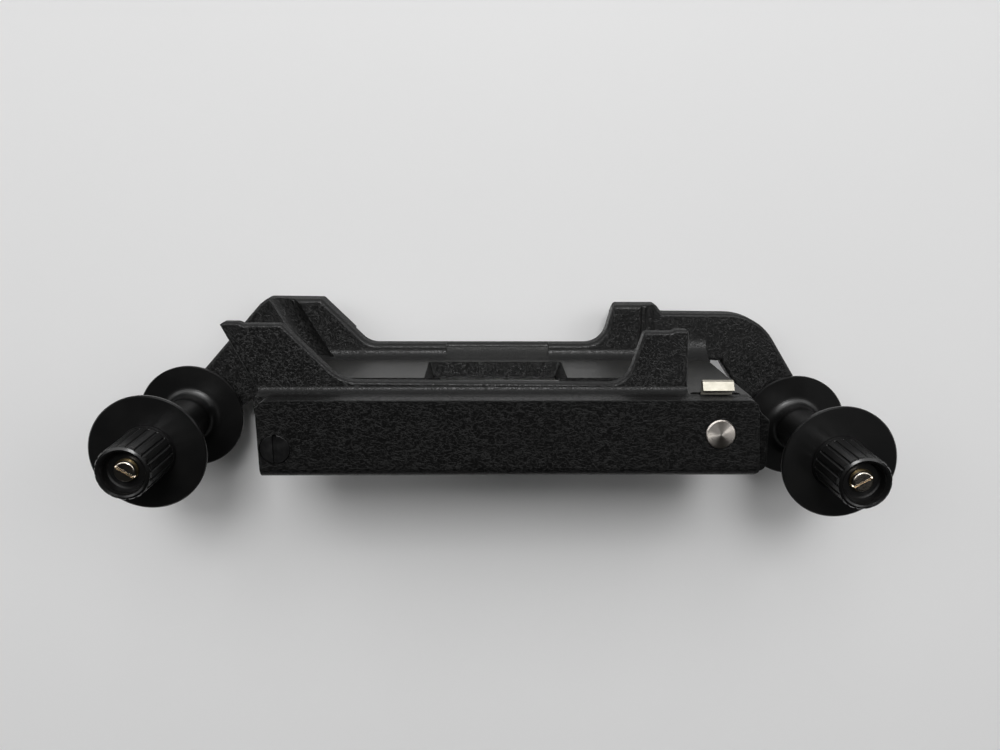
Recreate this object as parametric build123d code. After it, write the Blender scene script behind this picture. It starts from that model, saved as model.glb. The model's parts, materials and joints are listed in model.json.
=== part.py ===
from build123d import *
import math
import os

# Strip-film negative carrier, millimetres, +Z up.
# The carrier stands on its far side plate (Z = 0) with both spool knobs upwards.
# X runs along the film, Y is the optical axis through the gate, Z is the spool axes.
# Origin: centre of the bounding box's base, midway between the two spool axes.

# ---------------------------------------------------------------- driving dimensions
FILM_W = 35.0                      # strip width
SPOOL_L = (-97.67, -9.18)          # left spool axis
SPOOL_R = (97.67, -12.47)          # right spool axis
FLANGE_R = 16.5                    # spool flange radius
FLANGE_T = 1.18                    # spool flange thickness
FAR_FL = (14.75, 15.93)            # far flange, Z
NEAR_FL = (51.35, 52.53)           # near flange, Z
CORE_R = 6.4                       # radius of the far half's neck
SPIGOT_R = 4.9                     # far half's spigot inside the collar
COLLAR_R = 7.0                     # winding core: the knob half's collar
COLLAR_Z = 21.5                    # where the collar meets the far half
KNOB_R = 7.9                       # knob radius at its base
KNOB_TIP_R = 7.45                  # knob radius at its front
KNOB_Z = 69.5                      # knob front
FLUTES = 20
FLUTE_R = 0.55
RECESS_R = 5.6
RECESS_Z = 66.0                    # floor of the knob's recess
SPINDLE_R = 2.5
FIT = 0.05                         # radial clearance of a running fit

FLOOR = (5.5, 10.1)                # gate plate, Y
PLATE_X = (-64.0, 67.6)
PLATE_Z = (6.6, 63.9)
FAR_WALL = (10.3, 15.3)            # Z
NEAR_WALL = (55.3, 59.3)           # Z
ARM_Z = (6.6, 13.9)
MID_Z = 33.7                       # middle of the film

DOOR_Z = (3.5, 67.0)               # channel over its two flanges
DOOR_T = 3.0                       # channel wall
WEB_Y = (-9.7, -6.7)
SIDE_T = 3.5                       # side plates outside the channel
DOOR_TOP = 10.67
HINGE = (-57.45, -2.3)
BUTTON = (57.85, 1.7)
LEVER_X = (54.2, 62.4)
LEVER_PIVOT = (-4.9, 62.1)         # Y, Z
os.makedirs("parts", exist_ok=True)


# ---------------------------------------------------------------- helpers
def box(x0, x1, y0, y1, z0, z1):
    return Pos((x0 + x1) / 2, (y0 + y1) / 2, (z0 + z1) / 2) * Box(x1 - x0, y1 - y0, z1 - z0)


def cz(x, y, z0, z1, r):
    return Pos(x, y, (z0 + z1) / 2) * Cylinder(r, z1 - z0)


def cy(x, z, y0, y1, r):
    return Pos(x, (y0 + y1) / 2, z) * Rot(90, 0, 0) * Cylinder(r, y1 - y0)


def cx(y, z, x0, x1, r):
    return Pos((x0 + x1) / 2, y, z) * Rot(0, 90, 0) * Cylinder(r, x1 - x0)


def slab(points, z0, z1):
    """An outline in X, Y carried from z0 to z1."""
    return Pos(0, 0, z0) * extrude(make_face(Polyline(*points, close=True)), z1 - z0)


def rounded(points, radii):
    """Outline points with each corner replaced by the points of its arc."""
    out, n = [], len(points)
    for i, (p, r) in enumerate(zip(points, radii)):
        if not r:
            out.append(p)
            continue
        a, b = points[i - 1], points[(i + 1) % n]
        ux, uy = a[0] - p[0], a[1] - p[1]
        vx, vy = b[0] - p[0], b[1] - p[1]
        lu, lv = math.hypot(ux, uy), math.hypot(vx, vy)
        ux, uy, vx, vy = ux / lu, uy / lu, vx / lv, vy / lv
        half = math.acos(max(-1, min(1, ux * vx + uy * vy))) / 2
        t = r / math.tan(half)
        cxy = ((ux + vx), (uy + vy))
        lc = math.hypot(*cxy)
        d = r / math.sin(half)
        c = (p[0] + cxy[0] / lc * d, p[1] + cxy[1] / lc * d)
        s, e = (p[0] + ux * t, p[1] + uy * t), (p[0] + vx * t, p[1] + vy * t)
        a0, a1 = math.atan2(s[1] - c[1], s[0] - c[0]), math.atan2(e[1] - c[1], e[0] - c[0])
        da = (a1 - a0 + math.pi) % (2 * math.pi) - math.pi
        out.append(("arc", s, (c[0] + r * math.cos(a0 + da / 2), c[1] + r * math.sin(a0 + da / 2)), e))
    return out


def outline(points, radii):
    """A face in X, Y from corner points and corner radii, with true arcs."""
    items, edges, last = rounded(points, radii), [], None
    first = None
    for it in items:
        s = it[1] if it[0] == "arc" else it
        e = it[3] if it[0] == "arc" else it
        if first is None:
            first = s
        if last is not None and math.dist(last, s) > 1e-6:
            edges.append(Line(last, s))
        if it[0] == "arc":
            edges.append(ThreePointArc(it[1], it[2], it[3]))
        last = e
    if math.dist(last, first) > 1e-6:
        edges.append(Line(last, first))
    return make_face(Curve() + edges)


def plate(points, radii, z0, z1):
    return Pos(0, 0, z0) * extrude(outline(points, radii), z1 - z0)


def save(shape, name):
    if isinstance(shape, (list, ShapeList)):
        shape = Compound(children=list(shape))
    export_step(shape, f"parts/{name}.step")
    print(name, round(shape.volume, 2))


def soften(shape, edges, r):
    """Rounds the edges one by one, leaving out any that can't take the radius."""
    try:
        return fillet(edges, r)
    except Exception:
        return shape


def soft_rim(p, zfaces, r, ymin):
    """Rounds the edges of a plate's two faces that lie above ymin; an edge that can't take the radius stays sharp."""
    for z in zfaces:
        def rim(q):
            return [e for e in q.edges() if abs(e.center().Z - z) < 0.01 and e.bounding_box().size.Z < 0.01
                    and e.center().Y > ymin]
        try:
            p = fillet(rim(p), r)
            continue
        except Exception:
            pass
        best, taken = p, []
        for e in sorted(rim(p), key=lambda q: -q.length):
            try:
                best = fillet(taken + [e], r)
                taken.append(e)
            except Exception:
                print("stays sharp", [round(v, 1) for v in e.center()], round(e.length, 2))
        p = best
    return p


# ---------------------------------------------------------------- gate casting
X0, X1 = PLATE_X
Z0, Z1 = PLATE_Z
F0, F1 = FLOOR

floor = plate([(X0, F0), (X1, F0), (X1, F1), (X0, F1)], [0, 0, 0.8, 0.8], Z0, Z1)

near_pts = [(-64.0, F0 + 1), (-64.0, 10.6), (-72.9, 28.3), (-71.9, 28.95), (-68.2, 28.95), (-66.9, 28.4),
            (-56.9, 28.4), (-41.6, 12.95), (34.67, 12.25), (39.1, 26.4), (46.2, 26.35), (47.6, 26.95), (50.9, 26.95),
            (51.4, F0 + 1)]
near_rad = [0, 0, 0, 0.9, 1.5, 1.5, 1.2, 10.0, 6.0, 1.2, 1.5, 1.5, 0.9, 0]
near_wall = plate(near_pts, near_rad, *NEAR_WALL)
near_wall = soft_rim(near_wall, NEAR_WALL, 0.8, 8.0)

far_pts = [(-55.0, F0 + 1), (-55.0, 11.6), (-63.6, 28.7), (-54.5, 28.7), (-40.2, 14.4),
           (34.0, 14.4), (37.4, 26.9), (46.7, 26.9), (46.7, F0 + 1)]
far_rad = [0, 0, 0, 1.6, 7.0, 7.0, 1.6, 0, 0]
far_wall = plate(far_pts, far_rad, *FAR_WALL)
far_wall = soft_rim(far_wall, (FAR_WALL[1],), 1.4, 8.0)
far_ledge = box(X0, X1, F0 + 1, F1, Z0, FAR_WALL[0] + 1)


def boss(x, y, r):
    b = cz(x, y, *ARM_Z, r)
    return fillet(b.edges().filter_by(GeomType.CIRCLE), 1.0)


left_arm = plate(
    [(-54.7, 28.6), (-71.6, 28.8), (-74.2, 26.9), (-102.65, -4.56), (-104.67, -9.18), (-93.47, -15.03),
     (-77.4, -3.5), (-62.8, 7.0), (-45.0, 7.0), (-45.0, 18.9)],
    [1.2, 2.5, 2.5, 0, 0, 0, 12.0, 3.0, 0, 0],
    ARM_Z[0], ARM_Z[1])
left_arm = soft_rim(left_arm, ARM_Z, 1.0, -30.0) + boss(*SPOOL_L, 7.2)

right_arm = plate(
    [(37.0, 8.0), (37.0, 24.0), (38.2, 26.9), (51.0, 26.9), (53.2, 24.1), (84.0, 23.8),
     (104.63, -8.13), (104.0, -18.0), (90.4, -16.9), (77.0, 2.2), (72.7, 8.7), (66.0, 8.7), (66.0, 8.0)],
    [0, 0, 1.2, 1.5, 0.5, 18.0, 0, 0, 0, 0, 0, 0, 0],
    ARM_Z[0], ARM_Z[1])
right_arm = soft_rim(right_arm, ARM_Z, 1.0, -30.0) + boss(*SPOOL_R, 8.4)

# glass bed under the plate
BED_X, BED_Z = (-34.0, 34.0), (10.4, 57.0)
bed = box(*BED_X, 3.5, F0 + 0.5, *BED_Z)

# hinge lugs under the plate's left end
lugs = Part()
for z0, z1 in ((57.9, Z1), (Z0, 12.6)):
    lugs += plate([(HINGE[0] - 4, F0 + 1), (HINGE[0] - 4, HINGE[1] - 4), (HINGE[0] + 4, HINGE[1] - 4),
                   (HINGE[0] + 4, F0 + 1)], [0, 3.99, 3.99, 0], z0, z1)

casting = floor + near_wall + far_wall + far_ledge + left_arm + right_arm + bed + lugs


def foot(x0, x1, z, s, r):
    """A concave strip of radius r where a wall face at Z = z rises from the floor; s is the side the floor is on."""
    za, zb = sorted((z, z + s * r))
    return box(x0, x1, F1 - 0.3, F1 + r, za, zb) - cx(F1 + r, z + s * r, x0 - 1, x1 + 1, r)


casting += foot(X0 + 0.3, 51.2, NEAR_WALL[1], 1, 1.8)
casting += foot(-58.0, -15.5, FAR_WALL[1], 1, 3.0)
casting += foot(17.0, 46.7, FAR_WALL[1], 1, 3.0)
casting += foot(46.7, X1, ARM_Z[1], 1, 6.5)
casting += foot(-62.0, -15.5, NEAR_WALL[0], -1, 3.0)
casting += foot(17.0, 51.2, NEAR_WALL[0], -1, 3.0)
# at the gate both walls are scooped out and run down to the floor in one wide sweep
for z, sgn, pts, rad in ((FAR_WALL[1] - 1.9, 1, far_pts, far_rad), (NEAR_WALL[0] + 1.9, -1, near_pts, near_rad)):
    casting += foot(-15.5, 17.0, z, sgn, 5.5) & plate(pts, rad, 10.0, 60.0)
    casting -= cx(F1 + 5.5, z + sgn * 5.5, -15.5, 17.0, 5.5)
# the far wall's top edge is rounded along the scoop too
rim = box(-15.5, 17.0, 13.2, 14.6, 12.3, 16.0) - cx(13.2, 12.3, -16, 18, 1.2)
casting -= rim
# a concave valley between the left arm's face and the far wall's face
ax, ay, bx, by = -68.0, 29.3, -57.2, 10.6
ang = math.degrees(math.atan2(by - ay, bx - ax))
valley = Pos((ax + bx) / 2, (ay + by) / 2, 19.0) * Rot(0, 0, ang) * Rot(0, 90, 0) * Cylinder(6.0, math.hypot(bx - ax, by - ay) + 6)
casting -= valley & box(-85, -45, F1 + 0.2, 40, 12, 26)
# and a narrow one where the far wall ends on the right arm
casting -= cy(49.2, 16.0, F1 + 5.0, 40, 2.6)

# the aperture narrows from the channel's floor to the glass
APX, APZ = (-20.7, 20.5), (MID_Z - 12.1, MID_Z + 12.1)
top = Plane((0, F1 + 0.01, 0), x_dir=(1, 0, 0), z_dir=(0, 1, 0))
low = Plane((0, F0 - 0.01, 0), x_dir=(1, 0, 0), z_dir=(0, 1, 0))


def opening(plane, x0, x1, z0, z1, r):
    # local Y of these planes is -Z
    return plane * (Pos((x0 + x1) / 2, -(z0 + z1) / 2) * RectangleRounded(x1 - x0, z1 - z0, r))


aperture = loft([opening(top, APX[0], APX[1], *APZ, 1.2), opening(low, -19.4, 18.8, APZ[0] + 0.4, APZ[1] - 0.4, 0.8)])
casting -= aperture
casting -= box(-19.4, 18.8, 3.0, F0 + 0.2, APZ[0] + 0.4, APZ[1] - 0.4)
casting -= box(-26.1, 26.1, 3.0, F0, 14.1, 53.3)                      # pocket for the fixed glass
casting -= cz(*SPOOL_L, 0, 20, SPINDLE_R + 0.02)
casting -= cz(*SPOOL_R, 0, 20, SPINDLE_R + 0.02)
casting -= cz(*HINGE, 56.9, Z1 + 0.1, 1.5)
casting -= cz(*HINGE, Z0 - 0.1, 13.6, 1.5)
# slot for the latch tab, rounded ends
SLOT_X, SLOT_Z = (51.6, 65.0), (59.4, 62.9)
slot_h = (SLOT_Z[1] - SLOT_Z[0]) / 2
casting -= box(SLOT_X[0] + slot_h, SLOT_X[1] - slot_h, F0 - 1, F1 + 1, *SLOT_Z) \
    + cy(SLOT_X[0] + slot_h, (SLOT_Z[0] + SLOT_Z[1]) / 2, F0 - 1, F1 + 1, slot_h) \
    + cy(SLOT_X[1] - slot_h, (SLOT_Z[0] + SLOT_Z[1]) / 2, F0 - 1, F1 + 1, slot_h)
RAIL_SCREWS = [(x, z) for x in (-30.0, 30.0) for z in (12.2, 55.2)]
for x, z in RAIL_SCREWS:
    casting -= cy(x, z, 3.4, 8.0, 0.8)

casting = casting.solids().sort_by(SortBy.VOLUME)[-1] if len(casting.solids()) > 1 else casting
save(casting, "gate_casting")

# ---------------------------------------------------------------- fixed glass, rails and their screws
save(fillet(box(-26, 26, 3.5, F0, 14.2, 53.2).edges().filter_by(Axis.Y), 1.0), "fixed_glass")
for name, (z0, z1) in {"film_rail_near": (51.6, 56.6), "film_rail_far": (10.8, 15.8)}.items():
    rail = box(-32, 32, 2.7, 3.5, z0, z1)
    rail = fillet(rail.edges().filter_by(Axis.Y), 0.8)
    for x, z in RAIL_SCREWS:
        if z0 < z < z1:
            rail -= cy(x, z, 2.5, 3.6, 0.85)
    # the film slides in and out over slightly bevelled ends
    save(rail, name)
screws = []
for x, z in RAIL_SCREWS:
    s = cy(x, z, 2.0, 2.7, 1.45) + cy(x, z, 2.7, 7.5, 0.75)
    s -= box(x - 2, x + 2, 1.9, 2.3, z - 0.2, z + 0.2)
    screws.append(s)
save(screws, "rail_screws")

# ---------------------------------------------------------------- hinge screws
for name, side in {"near_hinge_screw": 1, "far_hinge_screw": -1}.items():
    h = HINGE
    if side > 0:
        s = cz(*h, 68.4, 70.35, 3.9) + cz(*h, Z1, 68.4, 2.6) + cz(*h, 58.4, Z1, 1.45)
        s = fillet(s.edges().filter_by(GeomType.CIRCLE).group_by(Axis.Z)[-1], 0.25)
        s -= box(h[0] - 0.6, h[0] + 0.6, h[1] - 5, h[1] + 5, 69.3, 71)
    else:
        s = cz(*h, 0.15, 2.1, 3.9) + cz(*h, 2.1, Z0, 2.6) + cz(*h, Z0, 12.1, 1.45)
        s = fillet(s.edges().filter_by(GeomType.CIRCLE).group_by(Axis.Z)[0], 0.25)
        s -= box(h[0] - 0.6, h[0] + 0.6, h[1] - 5, h[1] + 5, -1, 1.2)
    save(s, name)

# ---------------------------------------------------------------- spools, spindles
for side, (sx, sy), slot_deg in (("left", SPOOL_L, -35.0), ("right", SPOOL_R, 30.0)):
    at = Pos(sx, sy, 0)
    spindle = at * (cz(0, 0, ARM_Z[0], 66.05, SPINDLE_R) + cz(0, 0, 2.6, ARM_Z[0], 1.95))
    spindle -= at * cz(0, 0, 60.0, 66.1, 1.3)
    save(spindle, f"{side}_spindle")

    nut = at * Pos(0, 0, 3.4) * extrude(RegularPolygon(3.9, 6, major_radius=True), 3.15)
    nut -= at * cz(0, 0, 3, 7, 2.0)
    save(nut, f"{side}_spindle_nut")

    save(at * (cz(0, 0, ARM_Z[1], FAR_FL[0], 5.6) - cz(0, 0, 13, 16, 2.7)), f"{side}_friction_washer")
    save(at * (cz(0, 0, 66.05, 66.5, 3.2) - cz(0, 0, 66, 67, 1.5)), f"{side}_spool_washer")
    screw = at * (cz(0, 0, 66.5, 68.05, 2.85) + cz(0, 0, 61.0, 66.5, 1.25))
    screw = fillet(screw.edges().filter_by(GeomType.CIRCLE).group_by(Axis.Z)[-1], 0.55)
    screw -= at * Rot(0, 0, slot_deg) * box(-4, 4, -0.3, 0.3, 66.9, 69)
    save(screw, f"{side}_spool_screw")

    # knob half: collar, near flange and fluted knob in one moulding
    prof = [(SPINDLE_R + FIT, NEAR_FL[0] - 1.0), (SPIGOT_R + 0.05, NEAR_FL[0] - 1.0), (SPIGOT_R + 0.05, COLLAR_Z),
            (COLLAR_R - 0.35, COLLAR_Z), (COLLAR_R, COLLAR_Z + 0.35), (COLLAR_R, NEAR_FL[0] - 1.2),
            (COLLAR_R + 0.35, NEAR_FL[0] - 0.35), (COLLAR_R + 1.2, NEAR_FL[0]),
            (FLANGE_R - 0.25, NEAR_FL[0]), (FLANGE_R, NEAR_FL[0] + 0.25), (FLANGE_R, NEAR_FL[1] - 0.35),
            (FLANGE_R - 0.35, NEAR_FL[1]), (KNOB_R + 0.15, NEAR_FL[1]), (KNOB_R, NEAR_FL[1] + 0.3),
            (KNOB_R - 0.05, NEAR_FL[1] + 0.9), (KNOB_R - 0.25, NEAR_FL[1] + 1.3),
            (KNOB_TIP_R, KNOB_Z - 0.9), (KNOB_TIP_R - 0.3, KNOB_Z - 0.35), (KNOB_TIP_R - 0.9, KNOB_Z),
            (RECESS_R + 0.45, KNOB_Z - 0.2), (RECESS_R + 0.05, KNOB_Z - 0.9), (RECESS_R - 0.1, KNOB_Z - 1.4),
            (RECESS_R - 0.35, RECESS_Z + 0.4), (RECESS_R - 0.75, RECESS_Z), (SPINDLE_R + FIT, RECESS_Z)]
    face = make_face(Polyline(*[(r, 0, z) for r, z in prof], close=True))
    knob = revolve(face, Axis.Z, 360)
    # narrow round-bottomed flutes that run out at the front and stop short of the base ring
    for i in range(FLUTES):
        a = 360.0 / FLUTES * i + 4.0
        x_b, x_t = KNOB_R + 0.0, KNOB_TIP_R + 0.12
        zb, zt = NEAR_FL[1] + 2.1, KNOB_Z + 0.6
        ln = math.hypot(x_b - x_t, zt - zb)
        tilt = -math.degrees(math.atan2(x_b - x_t, zt - zb))
        cut = Pos((x_b + x_t) / 2, 0, (zb + zt) / 2) * Rot(0, tilt, 0) * Cylinder(FLUTE_R, ln)
        cut += Pos(x_b, 0, zb) * Sphere(FLUTE_R)
        knob -= Rot(0, 0, a) * cut
    save(at * knob, f"{side}_knob_half")

    # core half: far flange, a neck that flares into it, and the spigot inside the collar
    flare = 3.6
    with_arc = [(CORE_R + flare * (1 - math.cos(t)), FAR_FL[1] + flare * (1 - math.sin(t)))
                for t in [math.radians(90 - 90 / 12 * k) for k in range(13)]]
    prof = [(SPINDLE_R + FIT, FAR_FL[0]), (FLANGE_R - 0.35, FAR_FL[0]), (FLANGE_R, FAR_FL[0] + 0.35),
            (FLANGE_R, FAR_FL[1] - 0.25), (FLANGE_R - 0.25, FAR_FL[1])] + with_arc \
        + [(CORE_R, COLLAR_Z - 0.15), (CORE_R - 0.1, COLLAR_Z), (SPIGOT_R, COLLAR_Z), (SPIGOT_R, NEAR_FL[0] - 1.2),
           (SPINDLE_R + FIT, NEAR_FL[0] - 1.2)]
    core = revolve(make_face(Polyline(*[(r, 0, z) for r, z in prof], close=True)), Axis.Z, 360)
    save(at * core, f"{side}_core_half")

    # film clip: a spring strip that wraps a third of the core
    ring = cz(0, 0, 27.0, 40.0, COLLAR_R + 0.3) - cz(0, 0, 26, 41, COLLAR_R)
    wedge = slab([(0, 0), (14, -24), (-14, -24)], 26, 41)
    clip = ring & wedge
    save(at * clip, f"{side}_film_clip")

# ---------------------------------------------------------------- door channel
DZ0, DZ1 = DOOR_Z
web_out, web_in = WEB_Y
flange_pts = [(-61.9, web_out), (-61.9, DOOR_TOP), (66.4, DOOR_TOP), (69.5, 6.2), (71.6, 4.3), (71.6, web_out)]
flange_rad = [0.6, 3.4, 1.5, 0, 0.8, 2.0]
channel = plate(flange_pts, flange_rad, DZ1 - DOOR_T, DZ1) + plate(flange_pts, flange_rad, DZ0, DZ0 + DOOR_T)
web = plate([(-54.0, web_out), (71.6, web_out), (71.6, web_in), (-54.0, web_in)], [0, 2.0, 0, 0.8], DZ0, DZ1)
channel += web
channel = soften(channel, channel.edges().filter_by(Axis.X).filter_by(
    lambda e: abs(e.center().Y - web_in) < 0.01 and (abs(e.center().Z - (DZ1 - DOOR_T)) < 0.01 or abs(e.center().Z - (DZ0 + DOOR_T)) < 0.01)), 1.0)
WIN_X, WIN_Z = (-20.0, 20.0), (20.2, 47.2)
win = box(*WIN_X, web_out - 1, web_in + 1, *WIN_Z)
win = fillet(win.edges().filter_by(Axis.Y), 1.5)
channel -= win
# a shallow groove where the near flange meets its side plate
channel = soften(channel, [e for e in channel.edges() if abs(e.center().Z - DZ1) < 0.01 and e.bounding_box().size.Z < 0.01
                           and abs(e.center().Y - DOOR_TOP) < 0.01], 0.5)
channel -= cz(*HINGE, DZ0 - 1, DZ1 + 1, 2.6 + FIT)
channel -= cz(*BUTTON, DZ1 - DOOR_T - 1, DZ1 + 1, 1.6)
channel -= cz(*BUTTON, DZ1 - 1.1, DZ1 + 1, 4.05)                      # counterbore that the pressed head sinks into
STUDS = [(x, z) for x in (-28.0, 28.0) for z in (19.3, 48.1)]
for x, z in STUDS:
    channel -= cy(x, z, web_out - 1, web_in + 1, 1.02)
BRACKET_RIVETS = [(55.6, 57.2), (61.0, 57.2)]
for x, z in BRACKET_RIVETS:
    channel -= cy(x, z, web_out - 1, web_in + 1, 0.82)
PLATE_SCREWS = [(-36.0, -1.0), (2.0, -1.0), (40.0, -1.0)]
for x, y in PLATE_SCREWS:
    for z0, z1, zc in ((DZ1 - DOOR_T, DZ1, DZ1 - DOOR_T), (DZ0, DZ0 + DOOR_T, DZ0 + DOOR_T)):
        channel -= cz(x, y, z0 - 0.5, z1 + 0.5, 1.25)
        channel -= cz(x, y, zc - 1.2, zc + 1.2, 2.4)
save(channel, "door_channel")

# ---------------------------------------------------------------- side plates and their screws
SIDE_LOW, SIDE_TOP = -10.2, 10.78
side_pts = [(-61.7, SIDE_LOW), (-62.0, SIDE_TOP), (67.3, SIDE_TOP), (68.8, SIDE_LOW)]
side_rad = [0, 3.5, 2.8, 0]
near_plate = plate(side_pts, side_rad, DZ1, DZ1 + SIDE_T)
far_plate = plate(side_pts, side_rad, 0, SIDE_T)


def edge_round(p, zface, r_low, r_rest):
    low = [e for e in p.edges().filter_by(Axis.X) if abs(e.center().Z - zface) < 0.01 and e.center().Y < SIDE_LOW + 0.5]
    try:
        p = fillet(low, r_low)
    except Exception as err:
        print("low edge", type(err).__name__)
    rest = [e for e in p.edges() if abs(e.center().Z - zface) < 0.01 and e.center().Y > -6.5
            and abs(e.bounding_box().size.Z) < 0.01]
    try:
        p = fillet(rest, r_rest)
    except Exception as err:
        print("rest edges", type(err).__name__)
    return p


near_plate = edge_round(near_plate, DZ1 + SIDE_T, 2.9, 0.2)
far_plate = edge_round(far_plate, 0.0, 2.9, 0.2)
# rounded lower corners
corner = box(66.1, 70, SIDE_LOW - 1, SIDE_LOW + 2.4, -1, 72) - cz(66.35, SIDE_LOW + 2.4, -2, 73, 2.4)
corner += box(-62.5, -61.0, SIDE_LOW - 1, SIDE_LOW + 0.8, -1, 72) - cz(-60.95, SIDE_LOW + 0.75, -2, 73, 0.75)
near_plate -= corner
far_plate -= corner
near_plate -= cz(*HINGE, 68.35, 71, 4.05) + cz(*HINGE, 66, 69, 2.6 + FIT)
near_plate -= cz(*BUTTON, 66, 71, 4.05)
far_plate -= cz(*HINGE, -1, 2.15, 4.05) + cz(*HINGE, 1, 4, 2.6 + FIT)
for x, y in PLATE_SCREWS:
    near_plate -= cz(x, y, 66, 69.2, 1.25)
    far_plate -= cz(x, y, 1.3, 4, 1.25)
save(near_plate, "near_side_plate")
save(far_plate, "far_side_plate")
near_s, far_s = [], []
for x, y in PLATE_SCREWS:
    s = cz(x, y, 64.1, 65.2, 2.3) + cz(x, y, 65.2, 69.0, 1.2) - box(x - 3, x + 3, y - 0.25, y + 0.25, 64.0, 64.6)
    near_s.append(s)
    s = cz(x, y, 5.3, 6.4, 2.3) + cz(x, y, 1.5, 5.3, 1.2) - box(x - 3, x + 3, y - 0.25, y + 0.25, 5.9, 6.5)
    far_s.append(s)
save(near_s, "near_plate_screws")
save(far_s, "far_plate_screws")

# ---------------------------------------------------------------- sprung pressure plate
FR_X, FR_Z, FR_Y = (-31.0, 31.0), (16.3, 51.1), (-1.2, 3.2)
frame = box(*FR_X, *FR_Y, *FR_Z)
frame = fillet(frame.edges().filter_by(Axis.Y), 1.5)
frame -= box(-24, 24, 1.3, 4, 18.2, 49.2)
hole = box(-19, 19, -2, 4, 20.7, 46.7)
frame -= fillet(hole.edges().filter_by(Axis.Y), 1.0)
for x, z in STUDS:
    frame -= cy(x, z, -2, 4, 1.2 + FIT) + cy(x, z, 2.2, 4, 2.45)
save(frame, "pressure_frame")
save(fillet(box(-23.9, 23.9, 1.3, 3.3, 18.3, 49.1).edges().filter_by(Axis.Y), 0.4), "pressure_glass")
studs, springs = [], []
for x, z in STUDS:
    s = cy(x, z, web_in, 2.2, 1.2) + cy(x, z, 2.2, 3.0, 2.2) + cy(x, z, web_out, web_in, 1.0)
    s -= box(x - 3, x + 3, 2.65, 3.2, z - 0.25, z + 0.25)
    studs.append(s)
    springs.append(cy(x, z, web_in, FR_Y[0], 2.15) - cy(x, z, web_in - 1, FR_Y[0] + 1, 1.65))
save(studs, "guide_studs")
save(springs, "pressure_springs")

# ---------------------------------------------------------------- latch
PY, PZ = LEVER_PIVOT
LX0, LX1 = LEVER_X
T = 0.8
BZ0, BZ1 = 61.7, 62.5              # blade, Z
# side view in Y, Z: knuckle, blade, and a finger tab folded over the top and sloping towards +Z
knuckle = cx(PY, PZ, LX0 + 0.6, LX1 - 0.6, 1.6)
blade = box(LX0, LX1, PY, 13.0, BZ0, BZ1)
fold = [(13.0, BZ0), (13.75, BZ0 + 0.12), (14.2, BZ0 + 0.55), (14.25, BZ0 + 1.15), (13.95, BZ0 + 1.7),
        (11.85, BZ0 + 2.95), (11.45, BZ0 + 2.35), (13.35, BZ0 + 1.25), (13.45, BZ0 + 0.95), (13.25, BZ0 + 0.8), (13.0, BZ0 + 0.8)]
tab = Pos(LX0, 0, 0) * extrude(Plane.YZ * make_face(Polyline(*fold, close=True)), LX1 - LX0)
lever = knuckle + blade + tab
lever -= cx(PY, PZ, LX0 - 2, LX1 + 2, 0.8 + FIT)
save(lever, "latch_lever")
save(cx(PY, PZ, 52.3, 64.3, 0.8), "latch_pivot_pin")

bracket = box(52.6, 64.0, web_in, web_in + 0.8, 54.6, 59.9)
for x0 in (52.6, 63.2):
    bracket += plate([(x0, web_in), (x0 + 0.8, web_in), (x0 + 0.8, -3.2), (x0, -3.2)], [0, 0, 0, 0], 54.6, 63.6)
bracket += box(52.6, 64.0, web_in, 1.0, 54.6, 55.4)
bracket -= cx(PY, PZ, 52, 65, 0.82) + box(52, 65, web_in - 1, web_in + 1.1, 62.9, 64)
for x, z in BRACKET_RIVETS:
    bracket -= cy(x, z, web_in - 1, web_in + 2, 0.82)
save(bracket, "latch_bracket")
save([cy(x, z, web_out, web_in + 0.8, 0.8) + cy(x, z, web_in + 0.8, web_in + 1.5, 1.5) for x, z in BRACKET_RIVETS],
     "bracket_rivets")
save(cz(58.3, -1.2, 55.4, BZ0, 1.9) - cz(58.3, -1.2, 55, 62, 1.4), "latch_spring")

head = revolve(make_face(Polyline((0, 0, 67.2), (3.9, 0, 67.2), (3.9, 0, 70.55), (3.6, 0, 70.8), (0, 0, 71.15),
                                  close=True)), Axis.Z, 360)
tip = revolve(make_face(Polyline((0, 0, BZ1 + 0.05), (0.2, 0, BZ1 + 0.05), (1.5, 0, 63.05), (0, 0, 63.05), close=True)), Axis.Z, 360)
stem = cz(0, 0, 62.9, 67.3, 1.5) - (cz(0, 0, 63.25, 63.85, 2.0) - cz(0, 0, 63.2, 63.9, 1.1)) + tip
save(Pos(*BUTTON, 0) * (head + stem), "latch_button")
clip = cz(0, 0, 63.3, 63.8, 2.7) - cz(0, 0, 63, 64, 1.15) - box(-0.9, 0.9, -4, 0, 63, 64)
save(Pos(*BUTTON, 0) * clip, "button_clip")
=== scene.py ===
import json
import math

import bmesh
import bpy
from mathutils import Matrix, Vector


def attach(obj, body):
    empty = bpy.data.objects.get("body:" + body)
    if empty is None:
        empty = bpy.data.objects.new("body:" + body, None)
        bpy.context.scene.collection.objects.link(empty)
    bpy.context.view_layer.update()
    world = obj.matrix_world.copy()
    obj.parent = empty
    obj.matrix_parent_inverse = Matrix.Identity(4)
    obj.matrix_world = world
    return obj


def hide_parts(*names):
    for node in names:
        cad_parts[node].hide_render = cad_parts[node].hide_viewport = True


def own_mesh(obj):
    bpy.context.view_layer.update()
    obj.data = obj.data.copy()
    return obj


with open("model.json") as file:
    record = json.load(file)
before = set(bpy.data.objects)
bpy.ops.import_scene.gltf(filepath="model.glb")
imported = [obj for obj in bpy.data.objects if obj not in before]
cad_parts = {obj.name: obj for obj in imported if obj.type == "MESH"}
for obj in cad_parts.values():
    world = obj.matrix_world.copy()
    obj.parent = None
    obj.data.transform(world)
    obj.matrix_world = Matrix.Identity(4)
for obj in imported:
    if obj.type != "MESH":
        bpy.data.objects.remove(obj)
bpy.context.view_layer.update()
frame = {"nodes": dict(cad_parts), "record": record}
nodes = frame["nodes"]
scene = bpy.context.scene
MM = 0.001

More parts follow.
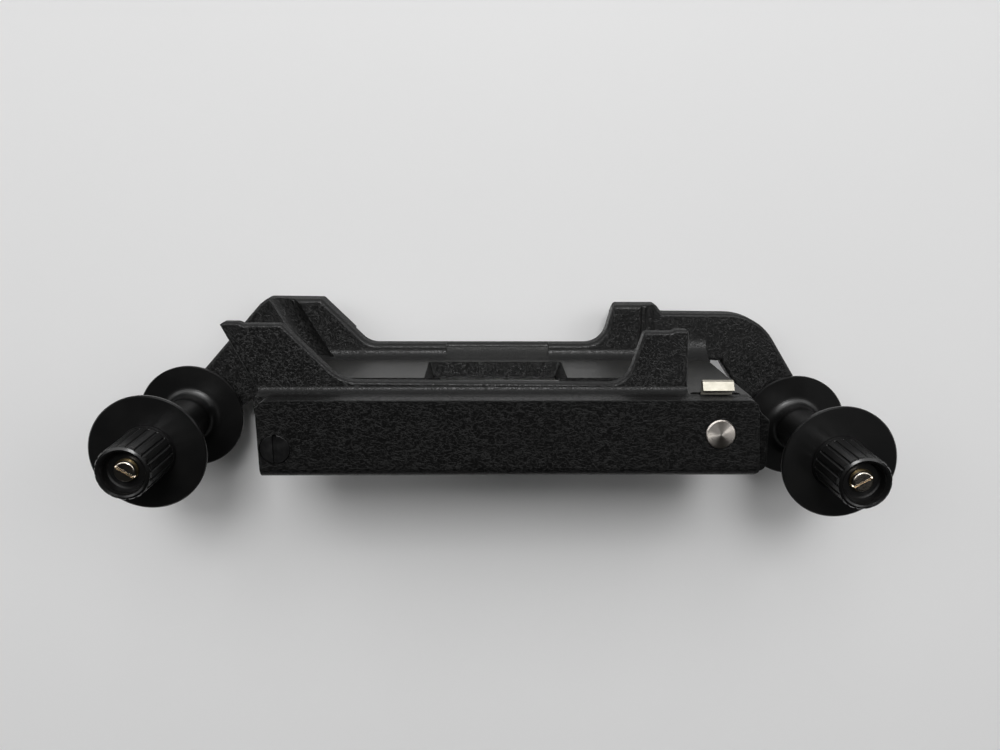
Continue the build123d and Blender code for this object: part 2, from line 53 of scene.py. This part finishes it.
# ------------------------------------------------------------------ camera
cam_data = bpy.data.cameras.new("camera")
cam_data.sensor_width = 36.0
cam_data.lens = 30.24
cam_data.clip_start = 0.01
cam_data.clip_end = 20.0
cam = bpy.data.objects.new("camera", cam_data)
scene.collection.objects.link(cam)
right = Vector((0.99985, 0.004057, 0.017023))
up = Vector((0.0, 0.97276, -0.23181))
back = Vector((-0.0175, 0.23177, 0.97261))
rot = Matrix((right, up, back)).transposed()
cam.matrix_world = Matrix.Translation((-0.003155, 0.06682, 0.2775)) @ rot.to_4x4()
scene.camera = cam

# ------------------------------------------------------------------ view, room and light
scene.view_settings.view_transform = "Standard"
scene.view_settings.look = "None"
scene.view_settings.exposure = 0.0
scene.view_settings.gamma = 1.0

world = bpy.data.worlds.new("room")
scene.world = world
world.use_nodes = True
wt = world.node_tree
wt.nodes.clear()
w_out = wt.nodes.new("ShaderNodeOutputWorld")
w_bg = wt.nodes.new("ShaderNodeBackground")
w_tc = wt.nodes.new("ShaderNodeTexCoord")
w_dot = wt.nodes.new("ShaderNodeVectorMath")
w_dot.operation = "DOT_PRODUCT"
w_dot.inputs[1].default_value = (0.0, 0.94, 0.34)
w_ramp = wt.nodes.new("ShaderNodeValToRGB")
w_map = wt.nodes.new("ShaderNodeMath")
w_map.operation = "MULTIPLY_ADD"
w_map.inputs[1].default_value = 0.5
w_map.inputs[2].default_value = 0.5
wt.links.new(w_tc.outputs["Generated"], w_dot.inputs[0])
wt.links.new(w_dot.outputs["Value"], w_map.inputs[0])
wt.links.new(w_map.outputs[0], w_ramp.inputs[0])
e = w_ramp.color_ramp.elements
e[0].position, e[0].color = 0.50, (0.010, 0.010, 0.0095, 1)
e[1].position, e[1].color = 0.95, (0.024, 0.024, 0.025, 1)
wt.links.new(w_ramp.outputs[0], w_bg.inputs["Color"])
w_bg.inputs["Strength"].default_value = 1.0
wt.links.new(w_bg.outputs[0], w_out.inputs["Surface"])


def area(name, loc, target, size, power, color=(1, 1, 1)):
    d = bpy.data.lights.new(name, "AREA")
    d.shape = "RECTANGLE"
    d.size, d.size_y = size
    d.energy = power
    d.color = color
    o = bpy.data.objects.new(name, d)
    o.location = loc
    o.rotation_mode = "QUATERNION"
    o.rotation_quaternion = (Vector(target) - Vector(loc)).to_track_quat("-Z", "Y")
    scene.collection.objects.link(o)
    return o


# one soft light high above the far side, and wide weaker ones around it that stand for a pale room
FAR = 2.4
for name, az, el, power, wide, tall in (
        ("key", 0, 60, 23.0, 0.66, 0.66), ("band_l", -42, 46, 12.4, 1.7, 1.0), ("band_c", 0, 42, 9.0, 1.3, 0.8),
        ("band_r", 42, 46, 12.8, 1.7, 1.0), ("low_c", 0, 28, 4.5, 1.6, 0.8),
        ("side_l", -72, 38, 3.4, 1.2, 1.0), ("top_r", 112, 68, 0.5, 0.5, 0.5), ("side_r", 72, 38, 4.2, 1.2, 1.0)):
    a, b = math.radians(az), math.radians(el)
    area(name, (FAR * math.sin(a) * math.cos(b), FAR * math.cos(a) * math.cos(b), FAR * math.sin(b)), (0, 0, 0), (wide, tall), power)

# the gap between the gate plate and the right arm shows a lit patch of the table
gap = bpy.data.lights.new("gap", "SPOT")
gap.energy = 1.7
gap.spot_size = math.radians(2.6)
gap.spot_blend = 0.5
gap.shadow_soft_size = 0.004
gap_o = bpy.data.objects.new("gap", gap)
gap_o.location = (0.0815, -0.205, 0.252)
gap_o.rotation_mode = "QUATERNION"
gap_o.rotation_quaternion = (Vector((0.0765, 0.004, 0.0)) - gap_o.location).to_track_quat("-Z", "Y")
scene.collection.objects.link(gap_o)

# ------------------------------------------------------------------ materials


class Mat:
    """A node material with the few building blocks the finishes below share."""

    def __init__(self, name):
        self.m = bpy.data.materials.new(name)
        self.m.use_nodes = True
        self.t = self.m.node_tree
        self.t.nodes.clear()
        self.out = self.t.nodes.new("ShaderNodeOutputMaterial")
        self.b = self.t.nodes.new("ShaderNodeBsdfPrincipled")
        self.t.links.new(self.b.outputs[0], self.out.inputs["Surface"])
        self.tc = self.t.nodes.new("ShaderNodeTexCoord")

    def link(self, a, b):
        self.t.links.new(a, b)

    def coords(self, scale=(1, 1, 1), turn=(0, 0, 0), move=(0, 0, 0)):
        n = self.t.nodes.new("ShaderNodeMapping")
        n.inputs["Scale"].default_value = scale
        n.inputs["Rotation"].default_value = turn
        n.inputs["Location"].default_value = move
        self.link(self.tc.outputs["Object"], n.inputs["Vector"])
        return n.outputs[0]

    def noise(self, vec, scale, detail=2.0, rough=0.5, distort=0.0):
        n = self.t.nodes.new("ShaderNodeTexNoise")
        n.inputs["Scale"].default_value = scale
        n.inputs["Detail"].default_value = detail
        n.inputs["Roughness"].default_value = rough
        n.inputs["Distortion"].default_value = distort
        self.link(vec, n.inputs["Vector"])
        return n.outputs["Fac"]

    def voronoi(self, vec, scale, feature="F1", smooth=None):
        n = self.t.nodes.new("ShaderNodeTexVoronoi")
        n.feature = feature
        n.inputs["Scale"].default_value = scale
        if smooth is not None:
            n.inputs["Smoothness"].default_value = smooth
        self.link(vec, n.inputs["Vector"])
        return n.outputs["Distance"]

    def math(self, op, a, b=None, c=None, clamp=False):
        n = self.t.nodes.new("ShaderNodeMath")
        n.operation = op
        n.use_clamp = clamp
        for i, v in enumerate((a, b, c)):
            if v is None:
                continue
            if isinstance(v, (int, float)):
                n.inputs[i].default_value = v
            else:
                self.link(v, n.inputs[i])
        return n.outputs[0]

    def span(self, v, a, b, lo=0.0, hi=1.0):
        n = self.t.nodes.new("ShaderNodeMapRange")
        n.clamp = True
        n.interpolation_type = "SMOOTHSTEP"
        n.inputs["From Min"].default_value = a
        n.inputs["From Max"].default_value = b
        n.inputs["To Min"].default_value = lo
        n.inputs["To Max"].default_value = hi
        self.link(v, n.inputs["Value"])
        return n.outputs[0]

    def xyz(self, vec=None):
        n = self.t.nodes.new("ShaderNodeSeparateXYZ")
        self.link(vec if vec is not None else self.tc.outputs["Object"], n.inputs[0])
        return n.outputs["X"], n.outputs["Y"], n.outputs["Z"]

    def normal_xyz(self):
        n = self.t.nodes.new("ShaderNodeSeparateXYZ")
        g = self.t.nodes.new("ShaderNodeNewGeometry")
        self.link(g.outputs["True Normal"], n.inputs[0])
        return n.outputs["X"], n.outputs["Y"], n.outputs["Z"]

    def mix(self, f, a, b):
        n = self.t.nodes.new("ShaderNodeMix")
        n.data_type = "RGBA"
        if isinstance(f, (int, float)):
            n.inputs["Factor"].default_value = f
        else:
            self.link(f, n.inputs["Factor"])
        for s, v in (("A", a), ("B", b)):
            k = [i for i in n.inputs if i.name == s and i.type == "RGBA"][0]
            if isinstance(v, tuple):
                k.default_value = (*v, 1)
            else:
                self.link(v, k)
        return [o for o in n.outputs if o.type == "RGBA"][0]

    def bump(self, h, dist, strength=1.0, normal=None):
        n = self.t.nodes.new("ShaderNodeBump")
        n.inputs["Distance"].default_value = dist
        if isinstance(strength, (int, float)):
            n.inputs["Strength"].default_value = strength
        else:
            self.link(strength, n.inputs["Strength"])
        self.link(h, n.inputs["Height"])
        if normal is not None:
            self.link(normal, n.inputs["Normal"])
        return n.outputs["Normal"]

    def set(self, **kw):
        names = {"color": "Base Color", "rough": "Roughness", "metal": "Metallic", "normal": "Normal",
                 "spec": "Specular IOR Level", "ior": "IOR", "coat": "Coat Weight", "coat_rough": "Coat Roughness",
                 "trans": "Transmission Weight", "aniso": "Anisotropic", "tangent": "Tangent"}
        for k, v in kw.items():
            s = self.b.inputs[names[k]]
            if isinstance(v, tuple):
                s.default_value = (*v, 1)
            elif isinstance(v, (int, float)):
                s.default_value = v
            else:
                self.link(v, s)
        return self.m


def wrinkle(name, stretch=1.0, size=1.0, depth=1.0, lift=0.0, contrast=1.0, spec=0.4, areas=None):
    """Black wrinkle enamel: worm-like ridges with glossy backs, coloured lighter on the ridges and darker in the
    creases as painted highlight and painted shade. areas(mat) gives a 0-1 mask where the finish is smooth.
    """
    k = Mat(name)
    v = k.coords(scale=(1 / stretch, 1, 1))
    # two sets of ridge lines: level lines of a noise field, folded
    n1 = k.noise(v, 900 / size, 1.0, 0.4, 0.35)
    r1 = k.math("ABSOLUTE", k.math("MULTIPLY_ADD", n1, 2.0, -1.0))
    r1 = k.span(r1, 0.0, 0.10, 1.0, 0.0)
    n2 = k.noise(k.coords(scale=(1 / stretch, 1, 1), move=(0.37, 0.11, 0.73)), 1500 / size, 1.0, 0.4, 0.3)
    r2 = k.math("ABSOLUTE", k.math("MULTIPLY_ADD", n2, 2.0, -1.0))
    r2 = k.span(r2, 0.0, 0.075, 1.0, 0.0)
    h = k.math("MAXIMUM", r1, k.math("MULTIPLY", r2, 0.75))
    fine = k.noise(k.coords(), 3200, 2.0, 0.6)
    h = k.math("MULTIPLY_ADD", fine, 0.22, h)
    broad = k.noise(k.coords(), 60, 2.0, 0.5)
    smooth = areas(k) if areas else None
    strength = 1.0
    if smooth is not None:
        strength = k.math("MULTIPLY_ADD", smooth, -0.72, 1.0)
    nrm = k.bump(h, 0.00005 * depth, strength)
    # ridge tops get the lighter colour and creases the darker one: painted highlight and painted shade of the wrinkles
    mid, half = 0.0057 + lift, 0.0052 * contrast
    low = (mid - half, mid - half, mid - half)
    high = (mid + half, mid + half * 1.03, mid + half * 0.98)
    col = k.mix(k.span(h, 0.1, 1.1), low, high)
    if smooth is not None:
        # smooth tone: wear specks on the floor and ledge, and painted lightness where the scooped walls take a share of
        # it
        worn_and_lit = k.mix(k.span(k.noise(k.coords(scale=(1, 1, 0.6)), 420, 4.0, 0.7), 0.42, 0.70),
                     (0.009 + lift, 0.0092 + lift, 0.0085 + lift), (0.019 + lift, 0.019 + lift, 0.0165 + lift))
        col = k.mix(smooth, col, worn_and_lit)
    # the backs of the ridges are dull, the creases between them are glossy and stay dark, with painted shade in their
    # colour as well
    rough = k.math("MULTIPLY_ADD", broad, 0.06, k.span(h, 0.0, 1.1, 0.46 - 0.14 * contrast, 0.46 + 0.15 * contrast))
    if smooth is not None:
        # upper faces and rims are duller than the walls
        nx, ny, nz = k.normal_xyz()
        rough = k.math("MULTIPLY_ADD", k.span(ny, 0.25, 0.8), 0.34, rough)
        rough = k.math("MULTIPLY_ADD", smooth, k.math("SUBTRACT", 0.42, rough), rough)
    return k.set(color=col, rough=rough, normal=nrm, spec=spec)


def casting_smooth_and_lit(k):
    """The channel's floor and the ledge beyond the right ear are smooth and show a little wear; the walls are not,
    except the scooped middle beside the gate, which gets painted lightness.
    """
    x, y, z = k.xyz()
    nx, ny, nz = k.normal_xyz()
    up_face = k.span(ny, 0.80, 0.95)
    low = k.math("MULTIPLY", k.span(y, 0.0096, 0.0099), k.span(y, 0.0108, 0.0104))
    inside = k.math("MULTIPLY", k.span(z, 0.0185, 0.0205), k.span(z, 0.0525, 0.0515))
    right = k.math("MULTIPLY", k.span(x, 0.0508, 0.0515), k.span(z, 0.0205, 0.0225))
    zone = k.math("MAXIMUM", inside, right)
    ground = k.math("MULTIPLY", k.math("MULTIPLY", up_face, low), zone, clamp=True)
    # the scooped middle of the far wall beside the gate gets 30% of the smooth tone: painted lightness where the scoop
    # tilts up toward the light, and a smoother finish
    across = k.math("MULTIPLY", k.span(x, -0.0165, -0.0150), k.span(x, 0.0180, 0.0165))
    scoop = k.math("MULTIPLY", k.math("MULTIPLY", k.span(z, 0.0125, 0.0133), k.span(z, 0.0195, 0.0185)), k.span(y, 0.0102, 0.0106))
    return k.math("MAXIMUM", ground, k.math("MULTIPLY", k.math("MULTIPLY", across, scoop), 0.3))


mats = {}
mats["casting"] = wrinkle("wrinkle_casting", stretch=1.0, size=0.92, depth=1.1, lift=0.0024, contrast=1.25, spec=0.46, areas=casting_smooth_and_lit)
mats["bar"] = wrinkle("wrinkle_bar", stretch=1.7, size=0.84, depth=0.9, lift=0.0006, contrast=0.78, spec=0.25)
mats["door"] = wrinkle("wrinkle_door", stretch=1.6, size=0.8, depth=0.8, lift=-0.001, contrast=0.75, spec=0.16)


def black_enamel():
    k = Mat("black_enamel")
    n = k.noise(k.coords(), 900, 3.0, 0.6)
    b = k.noise(k.coords(), 120, 3.0, 0.6)
    return k.set(color=k.mix(k.span(b, 0.4, 0.7), (0.008, 0.008, 0.0085), (0.015, 0.015, 0.015)),
                 rough=k.span(b, 0.3, 0.7, 0.30, 0.42), normal=k.bump(n, 0.00001, 0.6), spec=0.5)


def bakelite():
    """Satin black moulding, glossier on the knob's front rim."""
    k = Mat("bakelite")
    x, y, z = k.xyz()
    b = k.noise(k.coords(), 90, 3.0, 0.6)
    f = k.noise(k.coords(), 2400, 2.0, 0.5)
    rim = k.span(z, 0.0680, 0.0688)
    rough = k.math("MULTIPLY_ADD", rim, -0.11, k.span(b, 0.3, 0.7, 0.29, 0.33))
    return k.set(color=k.mix(k.span(b, 0.35, 0.75), (0.0040, 0.0040, 0.0041), (0.0056, 0.0055, 0.0054)),
                 rough=rough, normal=k.bump(f, 0.000005, 0.5), spec=0.42)


def nickel():
    k = Mat("nickel")
    b = k.noise(k.coords(), 300, 3.0, 0.6)
    s = k.noise(k.coords(scale=(0.2, 4, 1)), 1200, 2.0, 0.6)
    return k.set(color=k.mix(k.span(b, 0.35, 0.75), (0.50, 0.475, 0.41), (0.43, 0.41, 0.345)), metal=1.0,
                 rough=k.span(b, 0.3, 0.7, 0.44, 0.54), normal=k.bump(s, 0.000008, 0.5))


def turned_steel():
    k = Mat("turned_steel")
    x, y, z = k.xyz()
    cx, cy = 0.05785, 0.0017
    dx, dy = k.math("SUBTRACT", x, cx), k.math("SUBTRACT", y, cy)
    r = k.math("SQRT", k.math("ADD", k.math("MULTIPLY", dx, dx), k.math("MULTIPLY", dy, dy)))
    rings = k.math("SINE", k.math("MULTIPLY", r, 2 * math.pi / 0.00019))
    wob = k.noise(k.coords(), 500, 3.0, 0.6)
    vec = k.t.nodes.new("ShaderNodeCombineXYZ")
    k.link(k.math("MULTIPLY", dy, -1.0), vec.inputs[0])
    k.link(dx, vec.inputs[1])
    nrm = k.t.nodes.new("ShaderNodeVectorMath")
    nrm.operation = "NORMALIZE"
    k.link(vec.outputs[0], nrm.inputs[0])
    return k.set(color=k.mix(k.span(wob, 0.35, 0.7), (0.88, 0.82, 0.76), (0.76, 0.70, 0.64)), metal=1.0,
                 rough=k.span(wob, 0.3, 0.7, 0.30, 0.38), aniso=0.88, tangent=nrm.outputs[0],
                 normal=k.bump(rings, 0.000004, 0.6))


def blackened():
    k = Mat("blackened_steel")
    b = k.noise(k.coords(), 400, 3.0, 0.6)
    return k.set(color=k.mix(k.span(b, 0.4, 0.8), (0.004, 0.004, 0.0042), (0.010, 0.010, 0.010)), metal=0.0,
                 rough=k.span(b, 0.3, 0.7, 0.34, 0.46), spec=0.35, normal=k.bump(b, 0.00002, 0.4))


def polished():
    """Polished steel screw heads: dark where they mirror the room, bright along every rounded edge."""
    k = Mat("polished_steel")
    b = k.noise(k.coords(), 500, 3.0, 0.6)
    s = k.noise(k.coords(), 1800, 2.0, 0.6)
    return k.set(color=k.mix(k.span(b, 0.4, 0.8), (0.62, 0.57, 0.50), (0.40, 0.36, 0.31)), metal=1.0,
                 rough=k.span(b, 0.3, 0.7, 0.14, 0.22), normal=k.bump(s, 0.000006, 0.5))


def spring_steel():
    k = Mat("spring_steel")
    b = k.noise(k.coords(), 800, 3.0, 0.6)
    return k.set(color=k.mix(b, (0.42, 0.42, 0.43), (0.30, 0.30, 0.30)), metal=1.0,
                 rough=k.span(b, 0.3, 0.7, 0.25, 0.40))


def brass():
    k = Mat("brass")
    b = k.noise(k.coords(), 700, 3.0, 0.6)
    return k.set(color=k.mix(k.span(b, 0.3, 0.7), (0.10, 0.08, 0.045), (0.05, 0.042, 0.025)), metal=1.0,
                 rough=k.span(b, 0.3, 0.7, 0.35, 0.5))


def fibre():
    k = Mat("fibre")
    b = k.noise(k.coords(), 1500, 4.0, 0.7)
    return k.set(color=k.mix(b, (0.16, 0.045, 0.025), (0.28, 0.09, 0.05)), rough=0.75, normal=k.bump(b, 0.00003, 0.6))


def glass():
    k = Mat("glass")
    b = k.noise(k.coords(), 90, 3.0, 0.6)
    return k.set(color=(0.93, 0.97, 0.95), rough=k.span(b, 0.5, 0.9, 0.0, 0.03), trans=1.0, ior=1.5)


slot_mats = {"wrinkle_enamel": mats["casting"], "black_enamel": black_enamel(), "bakelite": bakelite(),
             "nickel": nickel(), "turned_steel": turned_steel(), "spring_steel": spring_steel(),
             "blackened_steel": blackened(), "brass": brass(), "fibre": fibre(), "glass": glass()}
slots = {s["node"]: s["material_slot"] for s in frame["record"]["subparts"]}
screw_steel = polished()
for n, o in nodes.items():
    m = slot_mats[slots[n]]
    if n in ("near_side_plate", "far_side_plate"):
        m = mats["bar"]
    elif n == "door_channel":
        m = mats["door"]
    elif n.endswith("_spool_screw"):
        m = screw_steel
    o.data.materials.clear()
    o.data.materials.append(m)

# ------------------------------------------------------------------ springs
def coil(name, centres, along, start, end, radius, wire, turns, node, material):
    """Round-wire compression springs with closed ends, from start to end along one axis; they are built at one fixed
    length and carried with the door.
    """
    bm = bmesh.new()
    steps, sides = 28, 8
    n = int(turns * steps)
    free = (end - start) - 2 * (wire + 0.00002)
    shut = 0.9                                   # of a turn, lying flat at each end
    for c in centres:
        rings = []
        for i in range(n + 1):
            t = i / steps                        # turns so far
            u = min(max((t - shut) / (turns - 2 * shut), 0.0), 1.0)
            h = start + wire + 0.00002 + (u * (free - 4 * wire) + 2 * wire * (min(t / shut, 1.0) + min(max((t - turns + shut) / shut, 0.0), 1.0)))
            a = 2 * math.pi * t
            ring = []
            for j in range(sides):
                b = 2 * math.pi * j / sides
                r = radius + wire * math.cos(b)
                p, q, w = r * math.cos(a), r * math.sin(a), h + wire * math.sin(b)
                ring.append(bm.verts.new((c[0] + p, w, c[1] + q) if along == "y" else (c[0] + p, c[1] + q, w)))
            rings.append(ring)
        for one, two in zip(rings, rings[1:]):
            for j in range(sides):
                bm.faces.new((one[j], one[(j + 1) % sides], two[(j + 1) % sides], two[j]))
        bm.faces.new(list(reversed(rings[0])))
        bm.faces.new(rings[-1])
    bmesh.ops.recalc_face_normals(bm, faces=bm.faces)
    for f in bm.faces:
        f.smooth = True
    me = bpy.data.meshes.new(name)
    bm.to_mesh(me)
    bm.free()
    o = bpy.data.objects.new(name, me)
    scene.collection.objects.link(o)
    me.materials.append(material)
    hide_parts(node)
    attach(o, "door")
    if along == "y":
        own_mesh(o)
    else:
        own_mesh(o)
    return o


coil("pressure_spring_coils", [(x, z) for x in (-0.028, 0.028) for z in (0.0193, 0.0481)], "y", -0.0067, -0.0012, 0.0019, 0.00023, 5.3, "pressure_springs",
     slot_mats[slots["pressure_springs"]])
coil("latch_spring_coil", ((0.0583, -0.0012),), "z", 0.0554, 0.0617, 0.00165, 0.00023, 6.3, "latch_spring",
     slot_mats[slots["latch_spring"]])

# ------------------------------------------------------------------ floor
bm = bmesh.new()
s = 1.6
v = [bm.verts.new((x, y, 0.0)) for x, y in ((-s, -s), (s, -s), (s, s), (-s, s))]
bm.faces.new(v)
me = bpy.data.meshes.new("floor")
bm.to_mesh(me)
bm.free()
floor = bpy.data.objects.new("floor", me)
scene.collection.objects.link(floor)
ft = Mat("table_top")
fn = ft.noise(ft.coords(), 9, 3.0, 0.5)
floor.data.materials.append(ft.set(color=ft.mix(fn, (0.79, 0.79, 0.79), (0.815, 0.815, 0.815)), rough=0.5))
